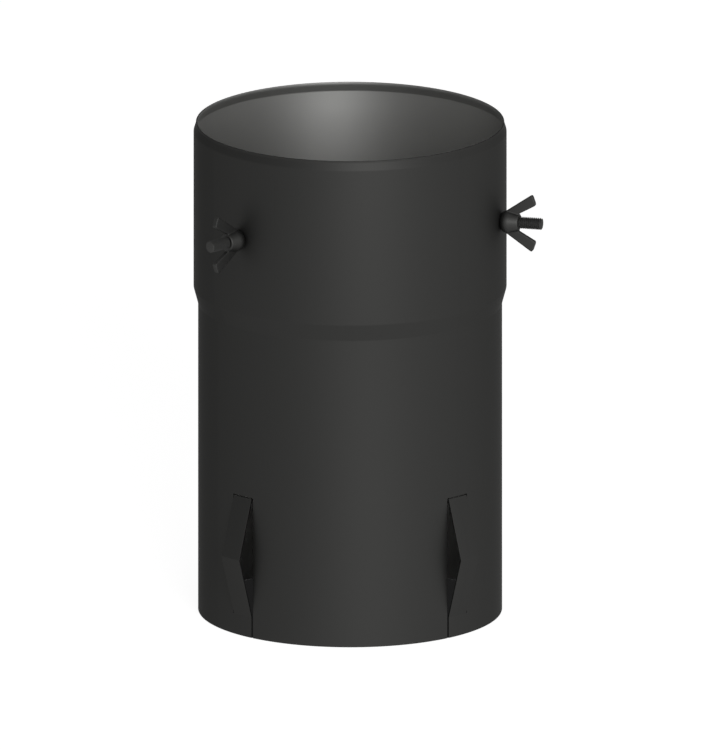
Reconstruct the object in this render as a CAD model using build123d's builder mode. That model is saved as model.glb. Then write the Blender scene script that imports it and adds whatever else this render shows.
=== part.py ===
from build123d import *
from math import cos, radians, sin
import os

# Chimney adapter: a rolled sheet-steel flue pipe with a spigot below and a socket above. Three sprung
# tongues are lanced out of the spigot's wall. Three clamp screws with wing nuts hold the pipe that is put
# into the socket. The axis is Z, the spigot's edge is at Z = 0 and the front faces -Y. Sizes are millimetres.

# Flue pipe
flue_diameter = 150.0  # outside of the spigot, and of the pipe that goes into the socket
wall = 0.8  # sheet thickness
spigot_length = 156.6
step_height = 8.3  # cone between spigot and socket
socket_play = 1.45  # radial, inside the socket round the pipe put into it
socket_length = 79.1  # straight part of the socket
rim_height = 3.5  # cone that draws the socket in to its mouth
lip_height = 1.0  # straight edge of the mouth
mouth_clearance = 0.3  # radial, round the pipe in the mouth

# Sprung tongues
tongue_width = 12.4
tongue_foot = 10.5  # height of the crease where a tongue leaves the wall
tongue_rise = 30.5  # foot to apex
tongue_return = 30.0  # apex to free end
tongue_bulge = 8.7  # how far the apex stands out of the wall
slit_width = 1.0  # open cut on one side, down to the pipe's edge
kerf = 0.4  # shear cut on the other side and across the free end
bend_radius = 1.0  # on the inside of the apex

# Clamp screws
thread_diameter = 6.0
thread_clearance = 0.05  # radial, in the wall's collar and in the wing nut
screw_length = 25.0
screw_reach = 20.8  # beyond the socket's outside
screw_chamfer = 0.6
clamp_drop = 45.5  # of the screws below the mouth's edge
collar_wall = 0.7  # thickness of the tapped collar, drawn inwards from the sheet

# Wing nuts
nut_gap = 0.05  # between a nut's seat and the socket
seat_diameter = 7.6
hub_diameter = 11.0  # at its widest, the shoulder
hub_shoulder = 2.4  # height of the shoulder above the seat
hub_top_diameter = 8.4
hub_height = 9.2
wing_root = 8.6  # height where a wing's inner edge leaves the hub
wing_span = 28.8  # over the outer corners of both wings
wing_reach = 15.4  # height of those corners above the seat
wing_tip = 5.7  # width of a wing across its tip
wing_tip_lean = 21.5  # degrees that the tip leans from upright
wing_tip_crown = 0.5  # rise of the tip's arc
wing_thickness = 2.4
wing_corner = 0.8  # rounding of the tip's corners
wing_chamfer = 0.5  # along the edges of a wing

# Sizes that follow
flue_radius = flue_diameter / 2
socket_radius = flue_radius + socket_play + wall
mouth_radius = flue_radius + mouth_clearance
thread_radius = thread_diameter / 2
bore_radius = thread_radius + thread_clearance
tongue_apex = tongue_foot + tongue_rise
clamp_height = spigot_length + step_height + socket_length + rim_height + lip_height - clamp_drop
screw_tip = socket_radius + screw_reach - screw_length
seat = socket_radius + nut_gap

tongues = {-135: 1, -45: -1, 90: 1}  # angle from +X, and the side of the open slit
clamps = {"front_left": -135, "right": -15, "rear": 105}  # place, and angle from +X


def outward(angle):
    """Level direction away from the axis at an angle from +X."""
    return Vector(cos(radians(angle)), sin(radians(angle)), 0)


def facing(angle, height):
    """Plane through the axis that faces outward, its x along the wall and its y up."""
    return Plane(origin=(0, 0, height), x_dir=outward(angle + 90), z_dir=outward(angle))


def upright(angle, height):
    """Plane through the axis, its x outward and its y up."""
    return Plane(origin=(0, 0, height), x_dir=outward(angle), z_dir=outward(angle - 90))


def level(angle, out, height):
    """Level plane at a distance out from the axis, its x outward."""
    return Plane(origin=outward(angle) * out + Vector(0, 0, height), x_dir=outward(angle), z_dir=(0, 0, 1))


with BuildPart() as pipe_body:
    # the sheet's profile, turned about the axis
    with BuildSketch(Plane.XZ):
        with BuildLine():
            step_foot = Vector(flue_radius, spigot_length)
            step_top = Vector(socket_radius, spigot_length + step_height)
            rim_foot = step_top + Vector(0, socket_length)
            rim_top = Vector(mouth_radius + wall, rim_foot.Y + rim_height)
            lip_top = rim_top + Vector(0, lip_height)
            Polyline((flue_radius, 0), step_foot, step_top, rim_foot, rim_top, lip_top)
            offset(amount=wall, side=Side.LEFT, kind=Kind.INTERSECTION)
        make_face()
    revolve(axis=Axis.Z)

    for angle, side in tongues.items():
        # window that the tongue is bent out of, with the slit beside it down to the pipe's edge
        middle = -side * slit_width / 2
        slit_middle = middle + side * (tongue_width + slit_width) / 2
        kerf_middle = middle - side * (tongue_width + kerf) / 2
        window_length = tongue_rise + tongue_return + kerf
        with BuildSketch(facing(angle, tongue_foot)):
            with Locations((middle, 0)):
                Rectangle(tongue_width, window_length, align=(Align.CENTER, Align.MIN))
            with Locations((kerf_middle, 0)):
                Rectangle(kerf, window_length, align=(Align.CENTER, Align.MIN))
            with Locations((slit_middle, -tongue_foot)):
                Rectangle(slit_width, tongue_foot + window_length, align=(Align.CENTER, Align.MIN))
        extrude(amount=socket_radius, mode=Mode.SUBTRACT)

        # two panels that keep the wall's curve across, one leaning out to the apex and one back from it
        lean_out = outward(angle) * tongue_bulge + Vector(0, 0, tongue_rise)
        lean_back = outward(angle) * -tongue_bulge + Vector(0, 0, tongue_return)
        for out, height, lean in ((0, tongue_foot, lean_out), (tongue_bulge, tongue_apex, lean_back)):
            with BuildSketch(level(angle, out, height)):
                Circle(flue_radius)
                Circle(flue_radius - wall, mode=Mode.SUBTRACT)
                with Locations((flue_radius, middle)):
                    Rectangle(flue_radius, tongue_width, mode=Mode.INTERSECT)
            extrude(amount=lean.length, dir=lean)

    # bend along each apex
    arcs = pipe_body.edges().filter_by(GeomType.CIRCLE)
    around = arcs.filter_by_position(Axis.Z, tongue_apex, tongue_apex).group_by(lambda arc: arc.radius)
    fillet(around[-1], bend_radius + wall)
    fillet(around[0], bend_radius)

    for angle in clamps.values():
        # tapped collar, drawn in no further than the mouth
        with BuildSketch(facing(angle, clamp_height).offset(mouth_radius)):
            Circle(bore_radius + collar_wall)
        extrude(amount=socket_radius - wall / 2 - mouth_radius)
        with BuildSketch(facing(angle, clamp_height)):
            Circle(bore_radius)
        extrude(amount=socket_radius + wall, mode=Mode.SUBTRACT)

screws, nuts = {}, {}
for place, angle in clamps.items():
    with BuildPart() as screw:
        with BuildSketch(facing(angle, clamp_height).offset(screw_tip)):
            Circle(thread_radius)
        extrude(amount=screw_length)
        chamfer(screw.edges().filter_by(GeomType.CIRCLE), screw_chamfer)
    screws[place] = screw

    # pair of wings that run from the hub to an arched tip, one above the screw and one below
    with BuildPart() as wings:
        with BuildSketch(upright(angle, clamp_height)):
            with BuildLine():
                tip_run = Vector(sin(radians(wing_tip_lean)), -cos(radians(wing_tip_lean)))
                outer_tip = Vector(seat + wing_reach, wing_span / 2)
                inner_tip = outer_tip + tip_run * wing_tip
                crown = (outer_tip + inner_tip) / 2 + Vector(-tip_run.Y, tip_run.X) * wing_tip_crown
                ThreePointArc(outer_tip, crown, inner_tip)
                inner_root = Vector(seat + wing_root, hub_top_diameter / 2)
                outer_root = Vector(seat + hub_shoulder, hub_diameter / 2)
                Polyline(inner_tip, inner_root, (outer_root.X, bore_radius), outer_root, outer_tip)
            make_face()
            mirror(about=Plane.XZ)
        extrude(amount=wing_thickness / 2, both=True)
        across = Axis((0, 0, 0), outward(angle - 90))
        fillet(wings.edges().filter_by(across).sort_by(Axis((0, 0, 0), outward(angle)))[-4:], wing_corner)
        flanks = wings.faces().filter_by(across)
        chamfer(flanks.edges(), wing_chamfer)

    with BuildPart() as nut:
        # hub, turned about the screw
        with BuildSketch(upright(angle, clamp_height)):
            with BuildLine():
                hub_foot = Vector(seat, seat_diameter / 2)
                hub_top = Vector(seat + hub_height, hub_top_diameter / 2)
                Polyline((seat, 0), hub_foot, outer_root, hub_top, (hub_top.X, 0), close=True)
            make_face()
        revolve(axis=Axis((0, 0, clamp_height), outward(angle)))
        add(wings.part)
        with BuildSketch(facing(angle, clamp_height).offset(seat)):
            Circle(bore_radius)
        extrude(amount=hub_height, mode=Mode.SUBTRACT)
    nuts[place] = nut

os.makedirs("parts", exist_ok=True)
pipe_body.part.label = "pipe_body"
export_step(pipe_body.part, "parts/pipe_body.step")
for place in clamps:
    screws[place].part.label = f"clamp_screw_{place}"
    export_step(screws[place].part, f"parts/clamp_screw_{place}.step")
    nuts[place].part.label = f"wing_nut_{place}"
    export_step(nuts[place].part, f"parts/wing_nut_{place}.step")
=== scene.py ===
from math import atan2, cos, degrees, radians, sin

import bmesh
import bpy
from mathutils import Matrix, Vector


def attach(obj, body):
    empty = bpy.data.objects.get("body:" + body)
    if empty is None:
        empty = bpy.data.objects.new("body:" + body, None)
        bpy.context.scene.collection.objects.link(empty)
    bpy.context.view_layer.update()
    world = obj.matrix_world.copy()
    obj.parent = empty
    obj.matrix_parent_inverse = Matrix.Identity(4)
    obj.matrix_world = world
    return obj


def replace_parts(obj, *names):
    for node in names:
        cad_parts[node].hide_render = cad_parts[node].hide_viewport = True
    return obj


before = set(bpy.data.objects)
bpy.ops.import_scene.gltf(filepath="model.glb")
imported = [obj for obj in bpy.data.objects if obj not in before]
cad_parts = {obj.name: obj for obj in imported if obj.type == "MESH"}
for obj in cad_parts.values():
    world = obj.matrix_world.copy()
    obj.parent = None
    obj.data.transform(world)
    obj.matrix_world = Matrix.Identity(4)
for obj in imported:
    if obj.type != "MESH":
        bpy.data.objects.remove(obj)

bl_info = {
    "name": "Chimney adapter",
    "version": (1, 0, 0),
    "blender": (4, 5, 0),
    "location": "View3D > Sidebar > Adapter",
    "description": "Models a sheet-steel chimney adapter with three sprung tongues and three wing-nut clamps",
    "category": "Object",
}

# Angles in degrees from +X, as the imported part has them
TONGUES = {-135: 1, -45: -1, 90: 1}  # angle, and the side of the open slit
CLAMPS = {"front_left": -135, "right": -15, "rear": 105}

# Columns of faces round the pipe, and what a tongue's cuts take of them from its middle
COLUMNS = 960
TONGUE_EDGES = -13, 12
SLIT_COLUMNS = 2
KERF_COLUMNS = 1

# Wing nut up from its seat, in millimetres: height and radius of the hub, then a wing's outline as
# distance from the screw's axis and height, round its arched tip
HUB = (0, 3.5), (0.2, 4.1), (0.6, 4.65), (1.2, 5.1), (2, 5.4), (2.9, 5.5), (4, 5.4), (5.3, 5.1), (9, 4.25)
HUB_TOP_RADIUS = 4.05
WING_FOOT = (3.4, 2.4), (5.5, 2.4)
WING_TIP = (14.1, 14.96), (14.3, 15.6), (13.9, 16.1), (13, 16.5), (12, 16.85), (11, 17.2), (10.2, 17.45)
WING_INSIDE = (9.5, 17.5), (9, 17.2), (4.2, 8.6), (3.4, 8.6)

# Screw thread: share of the pitch, and whether the profile is at the crest there
THREAD = (0, False), (0.25, False), (0.5625, True), (0.6875, True), (1, False)

# Stage, in metres, degrees and watts, with angles round from the front and up
FLOOR_SIDE = 12
KEY_TURN, KEY_RISE = 12, 18
KEY_AWAY, KEY_SIDE, KEY_POWER = 2.2, 0.8, 21
MIDDLE = 0, 0, 0.13  # of the object, which the light faces
VIEW_TILT, VIEW_AWAY, VIEW_WIDTH = 15, 1.5, 0.37004
VIEW_AIM = 0.00266, 0, 0.11906

# Levels of the background, where 1 is white: at the left and right in reflections, then as light
FLOOR_SHADE = 0.77, 1.0
WORLD_SHADE = 0.36, 0.82
# painted shadow: the floor's material is set this dark inside the pipe
PAINTED_SHADOW_INSIDE = 0.013  # floor inside the pipe, which lies in shadow
WORLD_LIGHT = 0.3
SHADOW_SHARE = 0.35  # of the light on the floor that the eye sees, which keeps the object's shadow

NEAR = 1e-6  # metres within which two places are the same


def mm(name, description, default):
    """A length property whose default is given in millimetres."""
    return bpy.props.FloatProperty(
        name=name, description=description, default=default / 1000, min=0, precision=5, unit="LENGTH"
    )


def linear(code):
    """Linear colour of an sRGB hex code."""
    channels = [int(code[i : i + 2], 16) / 255 for i in (1, 3, 5)]
    return [c / 12.92 if c <= 0.04045 else ((c + 0.055) / 1.055) ** 2.4 for c in channels]


def colour(name, description, code):
    """A colour property whose default is an sRGB hex code."""
    return bpy.props.FloatVectorProperty(
        name=name, description=description, default=linear(code), size=3, min=0, max=1, subtype="COLOR"
    )


class AdapterPipe(bpy.types.PropertyGroup):
    """Sizes of the rolled sheet and its tongues."""

    radius: mm("Spigot radius", "Outside of the spigot", 75.0)
    socket: mm("Socket radius", "Outside of the socket", 77.25)
    mouth: mm("Mouth radius", "Outside of the drawn-in edge", 76.1)
    wall: mm("Wall", "Thickness of the sheet", 0.8)
    step_foot: mm("Step foot", "Height where the spigot ends", 156.6)
    step_top: mm("Step top", "Height where the socket starts", 164.9)
    rim_foot: mm("Rim foot", "Height where the socket draws in", 244.0)
    rim_top: mm("Rim top", "Height where the mouth's edge turns straight", 247.5)
    height: mm("Height", "Height of the whole pipe", 248.5)
    bend: mm("Bend", "Width of the rounding along each fold of the sheet", 0.45)
    foot: mm("Tongue foot", "Height of the crease at a tongue's foot", 10.5)
    apex: mm("Tongue apex", "Height of a tongue's fold", 41.0)
    tip: mm("Tongue tip", "Height of a tongue's free end", 71.0)
    cut: mm("Cut", "Width of the shear cut across a tongue's free end", 0.4)
    bulge: mm("Bulge", "How far a tongue's fold stands out", 8.7)
    burr: mm("Edge break", "Rounding of the sheet's cut edges", 0.12)


class AdapterClamp(bpy.types.PropertyGroup):
    """Sizes of the screws, their collars and the wing nuts."""

    height: mm("Screw height", "Height of the screws' axes", 203.0)
    thread: mm("Thread radius", "Over the thread's crests", 3.0)
    root: mm("Root radius", "At the bottom of the thread", 2.39)
    pitch: mm("Pitch", "Advance of the thread in a turn", 1.0)
    tip: mm("Screw tip", "Distance of the screw's inner end from the pipe's axis", 73.05)
    length: mm("Screw length", "From end to end", 25.0)
    chamfer: mm("Chamfer", "At both ends of the screw", 0.6)
    bore: mm("Bore radius", "Of the collars and the nuts", 3.05)
    collar: mm("Collar radius", "Outside of the tapped collar in the wall", 3.75)
    collar_tip: mm("Collar tip", "Distance of a collar's edge from the pipe's axis", 75.3)
    seat: mm("Seat", "Distance of a nut's seat from the pipe's axis", 77.3)
    hub_height: mm("Hub height", "Seat to top of a nut's hub", 9.2)
    thickness: mm("Wing thickness", "Across a wing", 2.4)
    grain: mm("Casting grain", "Size of the cells that a nut's body is blended with", 0.2)


class AdapterFinish(bpy.types.PropertyGroup):
    """Colours of the object and its stage."""

    paint: colour("Paint", "Heat-resistant paint on the outside", "#3f3f3e")
    steel: colour("Steel", "Bare sheet on the inside", "#b8b8b6")
    screw: colour("Screw", "Oxide on the screws", "#4e4e4d")
    nut: colour("Nut", "Coating of the wing nuts", "#484847")
    floor: colour("Floor", "Floor under the object", "#ffffff")


# Helpers


def deselect():
    """Leaves nothing selected in object mode."""
    if bpy.context.object and bpy.context.object.mode != "OBJECT":
        bpy.ops.object.mode_set(mode="OBJECT")
    bpy.ops.object.select_all(action="DESELECT")


def activate(piece):
    """Makes one object the only selected one."""
    deselect()
    piece.select_set(True)
    bpy.context.view_layer.objects.active = piece


def edit(piece):
    """Opens one object in edit mode with all of it selected."""
    activate(piece)
    bpy.ops.object.mode_set(mode="EDIT")
    bpy.ops.mesh.select_mode(type="VERT")
    bpy.ops.mesh.select_all(action="SELECT")


def pick(piece, kind, test):
    """Selects the vertices, edges or faces of the open mesh that pass a test, and gives how many do."""
    bpy.ops.mesh.select_mode(type=kind)
    bpy.ops.mesh.select_all(action="DESELECT")
    shape = bmesh.from_edit_mesh(piece.data)
    parts = {"VERT": shape.verts, "EDGE": shape.edges, "FACE": shape.faces}[kind]
    chosen = [part for part in parts if test(part)]
    for part in chosen:
        part.select_set(True)
    bmesh.update_edit_mesh(piece.data)
    return len(chosen)


def draw(name, points):
    """Starts a mesh as a chain of edges through points, drawn vertex by vertex from one."""
    deselect()
    bpy.ops.mesh.primitive_plane_add(size=0.001, location=points[0])
    piece = bpy.context.object
    piece.name = name
    bpy.ops.object.transform_apply()
    edit(piece)
    bpy.ops.mesh.merge(type="CENTER")
    for start, end in zip(points, points[1:]):
        bpy.ops.mesh.extrude_vertices_move(TRANSFORM_OT_translate={"value": Vector(end) - Vector(start)})
    return piece


def ring_up(piece, rows):
    """Extrudes the selected ring of an open mesh up through rows of height and radius."""
    height, radius = rows[0]
    for next_height, next_radius in rows[1:]:
        bpy.ops.mesh.extrude_region_move(TRANSFORM_OT_translate={"value": (0, 0, next_height - height)})
        factor = next_radius / radius
        if factor != 1:
            bpy.ops.transform.resize(value=(factor, factor, 1), center_override=(0, 0, next_height))
        height, radius = next_height, next_radius


def modify(piece, kind, **settings):
    """Adds a modifier and applies it."""
    activate(piece)
    modifier = piece.modifiers.new(kind.title(), kind)
    for key, value in settings.items():
        setattr(modifier, key, value)
    bpy.ops.object.modifier_apply(modifier=modifier.name)


def combine(piece, operation, tool):
    """Joins, cuts or trims a piece with a tool, which is used up."""
    modify(piece, "BOOLEAN", operation=operation, solver="EXACT", object=tool)
    bpy.data.objects.remove(tool)


def smooth(piece, angle):
    """Shades a piece smooth, apart from edges sharper than an angle in degrees."""
    activate(piece)
    bpy.ops.object.shade_smooth_by_angle(angle=radians(angle))


def rod(radius, depth, start, vertices=64):
    """A cylinder up from a start height on the Z axis."""
    deselect()
    bpy.ops.mesh.primitive_cylinder_add(
        vertices=vertices, radius=radius, depth=depth, location=(0, 0, start + depth / 2)
    )
    bpy.ops.object.transform_apply()
    return bpy.context.object


def stand_out(piece, angle, out, height):
    """Turns a piece that was modelled up the Z axis to point outward from the pipe, and sets it in place."""
    activate(piece)
    piece.rotation_euler = 0, radians(90), radians(angle)
    piece.location = out * cos(radians(angle)), out * sin(radians(angle)), height
    bpy.ops.object.transform_apply()


def copies(model, stem, out, height):
    """Three copies of a model with meshes of their own, each at its clamp."""
    made = {}
    for place, angle in CLAMPS.items():
        activate(model)
        bpy.ops.object.duplicate(linked=False)
        made[place] = bpy.context.object
        made[place].name = f"{stem}_{place}"
        stand_out(made[place], angle, out, height)
    bpy.data.objects.remove(model)
    return made


# Materials


def node(tree, kind, inputs=None, **settings):
    """Adds a node, sets it up and fills its inputs with values or links."""
    made = tree.nodes.new(kind)
    for key, value in settings.items():
        setattr(made, key, value)
    for key, value in (inputs or {}).items():
        if isinstance(value, bpy.types.NodeSocket):
            tree.links.new(value, made.inputs[key])
        else:
            made.inputs[key].default_value = value
    return made


def material(name):
    """A new material with an empty tree."""
    made = bpy.data.materials.new(name)
    made.use_nodes = True
    made.node_tree.nodes.clear()
    return made, made.node_tree


def coated(name, tone, roughness, peel, depth, reach=0, edge=0.45):
    """Dull metallic finish with a peel, whose grain and depth are in millimetres, coarser than life so that
    it shows. Within reach of a corner, in millimetres too, its colour is darkened as painted shade. Edge is
    how bright it stays when seen along the surface."""
    made, tree = material(name)
    place = node(tree, "ShaderNodeTexCoord").outputs["Object"]
    grain = node(tree, "ShaderNodeTexNoise", {"Vector": place, "Scale": 1000 / peel, "Detail": 2.0})
    relief = {"Height": grain.outputs["Fac"], "Distance": depth / 1000, "Strength": 0.5}
    bump = node(tree, "ShaderNodeBump", relief)
    tone = (*tone, 1)
    # painted shade: the base colour is blended toward black where ambient occlusion finds nearby surfaces
    if reach:
        around = {"Distance": reach / 1000}
        free = node(tree, "ShaderNodeAmbientOcclusion", around, only_local=True).outputs["AO"]
        free = node(tree, "ShaderNodeMapRange", {"Value": free, "From Min": 0.3, "From Max": 0.85})
        tone = node(tree, "ShaderNodeMixRGB", {"Fac": free.outputs[0], 1: (0, 0, 0, 1), 2: tone}).outputs[0]
    shader = node(
        tree,
        "ShaderNodeBsdfPrincipled",
        {
            "Base Color": tone,
            "Roughness": roughness,
            "Specular Tint": (edge, edge, edge, 1),
            "Metallic": 1.0,
            "Normal": bump.outputs["Normal"],
        },
    )
    node(tree, "ShaderNodeOutputMaterial", {"Surface": shader.outputs[0]})
    return made


# Operators


class AdapterBuildPipe(bpy.types.Operator):
    """Model the rolled pipe with its step, drawn-in mouth, tongues and tapped collars"""

    bl_idname = "adapter.build_pipe"
    bl_label = "Build pipe"

    def execute(self, context):
        scene = context.scene
        size, clamp, finish = scene.adapter_pipe, scene.adapter_clamp, scene.adapter_finish
        deselect()
        bpy.ops.mesh.primitive_circle_add(vertices=COLUMNS, radius=size.radius, fill_type="NOTHING")
        pipe = context.object
        pipe.name = "pipe_sheet"
        edit(pipe)
        heights = 0, size.foot, size.apex, size.tip, size.tip + size.cut, size.step_foot
        levels = [(height, size.radius) for height in heights]
        levels += [(size.step_top, size.socket), (size.rim_foot, size.socket)]
        levels += [(size.rim_top, size.mouth), (size.height, size.mouth)]
        ring_up(pipe, levels)
        bpy.ops.mesh.select_all(action="SELECT")
        bpy.ops.mesh.normals_make_consistent(inside=False)

        for angle, side in TONGUES.items():
            self.lance(pipe, size, angle, side)

        # folds of the sheet, rounded
        folds = size.step_foot, size.step_top, size.rim_foot, size.rim_top, size.apex
        stood_out = size.radius + size.bulge / 2
        for fold in folds:
            found = pick(
                pipe,
                "EDGE",
                lambda edge: all(abs(v.co.z - fold) < NEAR for v in edge.verts)
                and (fold != size.apex or all(v.co.xy.length > stood_out for v in edge.verts)),
            )
            if not found:
                raise RuntimeError(f"no fold at {fold}")
            bpy.ops.mesh.bevel(offset=size.bend, segments=4, affect="EDGES")
        bpy.ops.object.mode_set(mode="OBJECT")

        # The sprayed paint is set as a dull dark metal: it gives a wide soft sheen down the front and edges
        # no brighter than the rest. Its colour is darkened where the tongues stand over it: painted shade.
        paint = coated("Satin black heat-resistant paint", finish.paint, 0.58, peel=1.2, depth=0.04, reach=25)
        # Rolled steel shows a blurred bright patch where it faces the light, and greys off to the sides.
        steel = coated("Bare rolled steel", finish.steel, 0.5, peel=1.2, depth=0.02, edge=0.05)
        pipe.data.materials.append(paint)
        pipe.data.materials.append(steel)
        modify(pipe, "SOLIDIFY", thickness=size.wall, offset=-1, use_even_offset=True, material_offset=1)
        modify(pipe, "BEVEL", width=size.burr, segments=2, limit_method="ANGLE", angle_limit=radians(60))
        for angle in CLAMPS.values():
            collar = rod(clamp.collar, size.socket - size.wall / 2 - clamp.collar_tip, clamp.collar_tip)
            bore_start = clamp.collar_tip - size.wall
            bore = rod(clamp.bore, size.socket + size.wall - bore_start, bore_start)
            for tool, operation in ((collar, "UNION"), (bore, "DIFFERENCE")):
                for finish_slot in pipe.data.materials:
                    tool.data.materials.append(finish_slot)
                for face in tool.data.polygons:
                    face.material_index = 1
                stand_out(tool, angle, 0, clamp.height)
                combine(pipe, operation, tool)
        smooth(pipe, 14)
        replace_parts(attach(pipe, "pipe"), "pipe_body")
        return {"FINISHED"}

    def lance(self, pipe, size, angle, side):
        """Cuts one tongue's slit and shear cut, and pushes its middle outward."""
        first, last = TONGUE_EDGES
        top = size.tip + size.cut
        slack = 0.1  # of a column, so that the vertices along both edges are taken too

        def place(point):
            """Columns from the tongue's middle towards its slit, and height."""
            turn = (degrees(atan2(point.y, point.x)) - angle + 180) % 360 - 180
            return side * turn * COLUMNS / 360, point.z

        def cut(face):
            across, height = place(face.calc_center_median())
            if last < across < last + SLIT_COLUMNS:
                return height < top
            if first - KERF_COLUMNS < across < first:
                return size.foot < height < top
            return first < across < last and size.tip < height < top

        def fold(vertex):
            across, height = place(vertex.co)
            return first - slack < across < last + slack and abs(height - size.apex) < NEAR

        # four rows of faces beside the slit, three beside the shear cut and one across the free end
        if pick(pipe, "FACE", cut) != 4 * SLIT_COLUMNS + 3 * KERF_COLUMNS + last - first:
            raise RuntimeError("the cuts of a tongue were not found")
        bpy.ops.mesh.delete(type="FACE")
        if pick(pipe, "VERT", fold) != last - first + 1:
            raise RuntimeError("the fold of a tongue was not found")
        out = size.bulge * Vector((cos(radians(angle)), sin(radians(angle)), 0))
        bpy.ops.transform.translate(value=out)


class AdapterBuildScrews(bpy.types.Operator):
    """Model one threaded clamp screw and copy it to the three collars"""

    bl_idname = "adapter.build_screws"
    bl_label = "Build screws"

    def execute(self, context):
        size, finish = context.scene.adapter_clamp, context.scene.adapter_finish
        # thread, run past both ends
        start = size.length + size.pitch
        profile = [(size.thread if crest else size.root, part * size.pitch) for part, crest in THREAD]
        screw = draw("clamp_screw", [(radius, 0, start + rise) for radius, rise in profile])
        bpy.ops.mesh.select_all(action="SELECT")
        turns = round(size.length / size.pitch) + 3
        bpy.ops.mesh.screw(steps=48, turns=turns, center=(0, 0, 0), axis=(0, 0, -1))
        bpy.ops.mesh.select_all(action="SELECT")
        bpy.ops.mesh.remove_doubles(threshold=NEAR)
        bpy.ops.mesh.select_all(action="DESELECT")
        bpy.ops.mesh.select_non_manifold()
        bpy.ops.mesh.fill_holes(sides=0)
        bpy.ops.mesh.select_all(action="SELECT")
        bpy.ops.mesh.normals_make_consistent(inside=False)

        # blank with rounded ends, which trims the thread
        blank = rod(size.thread, size.length, 0, 96)
        edit(blank)
        pick(blank, "EDGE", lambda edge: abs(edge.verts[0].co.z - edge.verts[1].co.z) < NEAR)
        bpy.ops.mesh.bevel(offset=size.chamfer, segments=4, affect="EDGES")
        combine(screw, "INTERSECT", blank)
        # Oxide is thin and even: a grey sheen on the crests, with no gloss.
        screw.data.materials.append(coated("Black oxide on steel", finish.screw, 0.6, peel=0.5, depth=0.01))
        smooth(screw, 25)
        for place, piece in copies(screw, "clamp_screw_thread", size.tip, size.height).items():
            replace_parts(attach(piece, f"screw_{place}"), f"clamp_screw_{place}")
        return {"FINISHED"}


class AdapterBuildNuts(bpy.types.Operator):
    """Model one cast wing nut and copy it to the three screws"""

    bl_idname = "adapter.build_nuts"
    bl_label = "Build wing nuts"

    def execute(self, context):
        size, finish = context.scene.adapter_clamp, context.scene.adapter_finish
        # hub: a rounded foot, a shoulder and a tapering neck
        rows = [(height / 1000, radius / 1000) for height, radius in HUB]
        rows.append((size.hub_height, HUB_TOP_RADIUS / 1000))
        deselect()
        bpy.ops.mesh.primitive_circle_add(vertices=64, radius=rows[0][1], fill_type="NGON")
        nut = context.object
        nut.name = "wing_nut"
        edit(nut)
        ring_up(nut, rows)
        bpy.ops.mesh.select_all(action="SELECT")
        bpy.ops.mesh.normals_make_consistent(inside=False)

        # wing: its outline with the arched tip, then its thickness
        outline = *WING_FOOT, *WING_TIP, *WING_INSIDE
        wing = draw("wing", [(x / 1000, -size.thickness / 2, z / 1000) for x, z in outline])
        bpy.ops.mesh.select_all(action="SELECT")
        bpy.ops.mesh.edge_face_add()
        bpy.ops.mesh.extrude_region_move(TRANSFORM_OT_translate={"value": (0, size.thickness, 0)})
        bpy.ops.mesh.select_all(action="SELECT")
        bpy.ops.mesh.normals_make_consistent(inside=False)
        bpy.ops.object.mode_set(mode="OBJECT")
        bpy.ops.object.duplicate(linked=False)
        other = context.object
        other.rotation_euler.z = radians(180)
        bpy.ops.object.transform_apply()

        # one casting, blended over its joins
        activate(nut)
        wing.select_set(True)
        other.select_set(True)
        bpy.ops.object.join()
        modify(nut, "REMESH", mode="VOXEL", voxel_size=size.grain)
        modify(nut, "SMOOTH", factor=0.5, iterations=12)
        combine(nut, "DIFFERENCE", rod(size.bore, size.hub_height * 2, -size.hub_height / 2, 96))
        nut.data.materials.clear()
        # The coating over the casting gives a soft round highlight on the hub; its colour is darkened at the
        # joins of the wings as painted shade.
        coating = coated("Black coating on cast steel", finish.nut, 0.55, peel=0.8, depth=0.03, reach=3)
        nut.data.materials.append(coating)
        smooth(nut, 40)
        for place, piece in copies(nut, "wing_nut_cast", size.seat, size.height).items():
            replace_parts(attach(piece, f"nut_{place}"), f"wing_nut_{place}")
        return {"FINISHED"}


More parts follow.
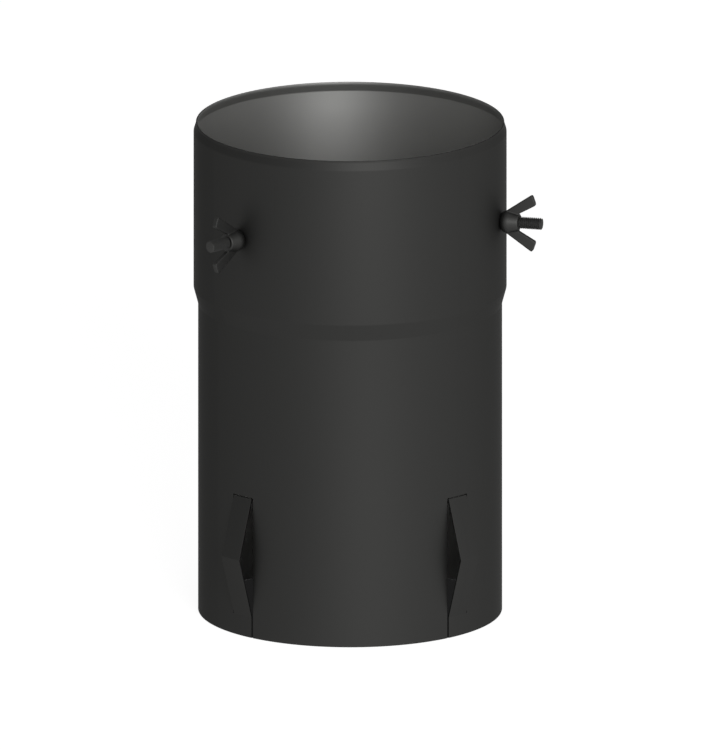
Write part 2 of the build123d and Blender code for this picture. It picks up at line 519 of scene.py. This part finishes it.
class AdapterBuildStage(bpy.types.Operator):
    """Set the floor, the studio light and the camera"""

    bl_idname = "adapter.build_stage"
    bl_label = "Build stage"

    def execute(self, context):
        scene = context.scene
        size, finish = scene.adapter_pipe, scene.adapter_finish
        deselect()
        bpy.ops.mesh.primitive_plane_add(size=FLOOR_SIDE)
        floor = context.object
        floor.name = "floor"
        # White card: white to the eye apart from the object's faint shadow, a little greyer in reflections,
        # and with a painted shadow inside the pipe.
        made, tree = material("White studio card")
        place = node(tree, "ShaderNodeTexCoord").outputs["Object"]
        eye, seen, level = self.backdrop(tree, place, *FLOOR_SHADE, 1 - SHADOW_SHARE * WORLD_LIGHT)
        # painted shadow: inside the pipe's wall the floor's level and its share of the light drop to a dark
        # level
        away = node(tree, "ShaderNodeVectorMath", {0: place}, operation="LENGTH").outputs["Value"]
        under_wall = {"From Min": size.radius - size.wall, "From Max": size.radius - size.wall / 4}
        painted_shadow_range = {"Value": away, **under_wall, "To Min": PAINTED_SHADOW_INSIDE}
        bright = node(tree, "ShaderNodeMapRange", painted_shadow_range).outputs[0]
        level = node(tree, "ShaderNodeMath", {0: level, 1: bright}, operation="MULTIPLY").outputs[0]
        diffuse = node(tree, "ShaderNodeBsdfDiffuse", {"Color": (*finish.floor, 1)})
        glow = node(tree, "ShaderNodeEmission", {"Color": (*finish.floor, 1), "Strength": level})
        share = node(tree, "ShaderNodeMath", {0: bright, 1: SHADOW_SHARE}, operation="MULTIPLY").outputs[0]
        share = node(tree, "ShaderNodeMath", {0: share, 1: eye}, operation="MULTIPLY").outputs[0]
        lit = node(tree, "ShaderNodeBsdfDiffuse", {"Color": share})
        shaded = node(tree, "ShaderNodeAddShader", {0: glow.outputs[0], 1: lit.outputs[0]})
        shown = node(tree, "ShaderNodeMixShader", {"Fac": seen, 1: diffuse.outputs[0], 2: shaded.outputs[0]})
        node(tree, "ShaderNodeOutputMaterial", {"Surface": shown.outputs[0]})
        floor.data.materials.append(made)

        world = bpy.data.worlds.new("Studio")
        scene.world = world
        world.use_nodes = True
        world.node_tree.nodes.clear()
        tree = world.node_tree
        place = node(tree, "ShaderNodeTexCoord").outputs["Generated"]
        _, seen, level = self.backdrop(tree, place, *WORLD_SHADE, 1.0)
        levels = {"Value": seen, "To Min": WORLD_LIGHT, "To Max": level}
        level = node(tree, "ShaderNodeMapRange", levels).outputs[0]
        light = node(tree, "ShaderNodeBackground", {"Color": (1, 1, 1, 1), "Strength": level})
        node(tree, "ShaderNodeOutputWorld", {"Surface": light.outputs[0]})

        # square soft light, a little to the right of the front
        deselect()
        turn, rise = radians(KEY_TURN), radians(KEY_RISE)
        away = Vector((sin(turn) * cos(rise), -cos(turn) * cos(rise), sin(rise)))
        facing = (-away).to_track_quat("-Z", "Y").to_euler()
        bpy.ops.object.light_add(type="AREA", location=Vector(MIDDLE) + KEY_AWAY * away, rotation=facing)
        key = context.object
        key.name = "key"
        key.data.size = KEY_SIDE
        key.data.energy = KEY_POWER

        # view from the front without perspective
        deselect()
        tilt = radians(VIEW_TILT)
        back = VIEW_AWAY * Vector((0, -cos(tilt), sin(tilt)))
        bpy.ops.object.camera_add(location=Vector(VIEW_AIM) + back, rotation=(radians(90) - tilt, 0, 0))
        camera = context.object
        camera.data.type = "ORTHO"
        camera.data.ortho_scale = VIEW_WIDTH
        scene.camera = camera
        scene.view_settings.view_transform = "Standard"
        return {"FINISHED"}

    def backdrop(self, tree, place, left, right, front):
        """Whether a ray comes from the eye, whether it shows the background, and the background's level:
        front to the eye, and from left to right in reflections."""
        rays = node(tree, "ShaderNodeLightPath").outputs
        eye = seen = rays["Is Camera Ray"]
        for kind in ("Is Glossy Ray", "Is Transmission Ray"):
            seen = node(tree, "ShaderNodeMath", {0: seen, 1: rays[kind]}, operation="MAXIMUM").outputs[0]
        way = node(tree, "ShaderNodeVectorMath", {0: place}, operation="NORMALIZE").outputs["Vector"]
        across = node(tree, "ShaderNodeSeparateXYZ", {0: way}).outputs["X"]
        sides = {"From Min": -1.0, "From Max": 1.0, "To Min": left, "To Max": right}
        shade = node(tree, "ShaderNodeMapRange", {"Value": across, **sides}).outputs[0]
        level = node(tree, "ShaderNodeMapRange", {"Value": eye, "To Min": shade, "To Max": front}).outputs[0]
        return eye, seen, level


class AdapterPanel(bpy.types.Panel):
    """Sidebar panel with the sizes, colours and steps"""

    bl_idname = "VIEW3D_PT_adapter"
    bl_label = "Chimney adapter"
    bl_space_type = "VIEW_3D"
    bl_region_type = "UI"
    bl_category = "Adapter"

    def draw(self, context):
        for group in ("adapter_pipe", "adapter_clamp", "adapter_finish"):
            box = self.layout.box()
            values = getattr(context.scene, group)
            for key in values.__annotations__:
                box.prop(values, key)
        for step in BUILDERS:
            self.layout.operator(step.bl_idname)


BUILDERS = (AdapterBuildPipe, AdapterBuildScrews, AdapterBuildNuts, AdapterBuildStage)
CLASSES = (AdapterPipe, AdapterClamp, AdapterFinish, *BUILDERS, AdapterPanel)


def register():
    for made in CLASSES:
        bpy.utils.register_class(made)
    bpy.types.Scene.adapter_pipe = bpy.props.PointerProperty(type=AdapterPipe)
    bpy.types.Scene.adapter_clamp = bpy.props.PointerProperty(type=AdapterClamp)
    bpy.types.Scene.adapter_finish = bpy.props.PointerProperty(type=AdapterFinish)


def unregister():
    del bpy.types.Scene.adapter_pipe, bpy.types.Scene.adapter_clamp, bpy.types.Scene.adapter_finish
    for made in reversed(CLASSES):
        bpy.utils.unregister_class(made)


def main():
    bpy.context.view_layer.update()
    register()
    bpy.ops.adapter.build_pipe()
    bpy.ops.adapter.build_screws()
    bpy.ops.adapter.build_nuts()
    bpy.ops.adapter.build_stage()


if __name__ == "__main__":
    main()
